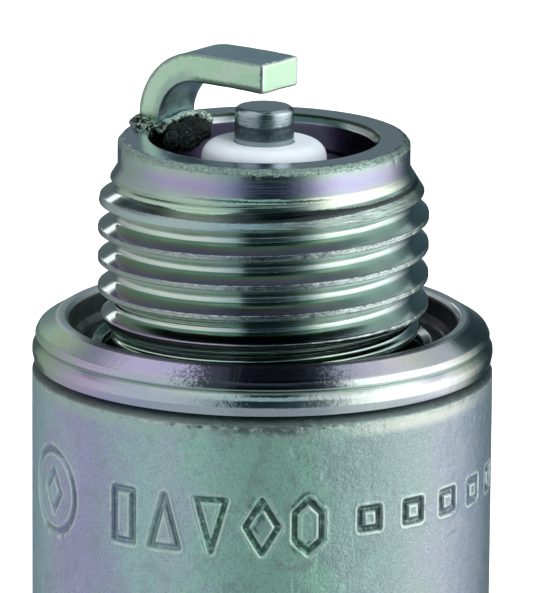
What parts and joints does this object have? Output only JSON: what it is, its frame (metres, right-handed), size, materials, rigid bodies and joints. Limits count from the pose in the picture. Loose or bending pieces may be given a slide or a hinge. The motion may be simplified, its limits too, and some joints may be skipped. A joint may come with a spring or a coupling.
{
  "type": "spark plug",
  "caption": "Spark plug with a threaded steel shell and hexagon, folded gasket, white ceramic insulator, terminal nut, and a bent ground strap over the centre electrode.",
  "frame": {"origin": "on the plug's axis, in the plane of the shell's gasket seat", "axes": "+Z along the axis from the terminal to the firing end; two opposite corners of the hexagon lie on X, and two of its flats face +Y and -Y; the ground strap is welded on at 143 degrees from +X, towards +Y, and reaches across the axis"},
  "size_m": [0.022, 0.0192, 0.0586],
  "materials": {
    "plated_steel": "bright zinc plating with an iridescent green and violet passivation film",
    "strap_nickel": "nickel alloy strap with a thin green plating film, satin",
    "burnt_weld": "black, rough weld scale",
    "bright_weld": "bright weld beads under the plating",
    "electrode_nickel": "dark nickel alloy, burnished at the tip",
    "copper": "plain copper",
    "alumina": "matt white at the nose, glazed white at the terminal end",
    "copper_glass": "fused copper-glass powder",
    "carbon_glass": "fused carbon-glass powder",
    "stud_seal_glass": "fused copper-glass powder",
    "stud_steel": "bright nickel plating",
    "nut_steel": "bright nickel plating",
    "gasket_steel": "bright plated sheet steel, folded",
    "packing_steel": "plain sheet steel",
    "ring_steel": "plain wire",
    "talc": "pressed powder"
  },
  "bodies": {
    "plug": {"metal_shell": "plated_steel", "ground_electrode": "strap_nickel", "weld_flash_bore": "burnt_weld", "weld_flash_rim": "bright_weld", "centre_electrode": "electrode_nickel", "electrode_copper_core": "copper", "insulator": "alumina", "lower_glass_seal": "copper_glass", "suppressor_resistor": "carbon_glass", "upper_glass_seal": "stud_seal_glass", "terminal_stud": "stud_steel", "seat_packing": "packing_steel", "front_wire_ring": "ring_steel", "rear_wire_ring": "ring_steel", "talc_packing": "talc"},
    "gasket": {"gasket": "gasket_steel"},
    "terminal_nut": {"terminal_nut": "nut_steel"}
  },
  "joints": [
    {"name": "gasket_play", "type": "slide", "parent": "plug", "child": "gasket", "axis": [0, 0, 1], "range_m": [0, 0.0007]},
    {"name": "terminal_nut_off", "type": "slide", "parent": "plug", "child": "terminal_nut", "axis": [0, 0, -1], "range_m": [0, 0.0065]}
  ]
}
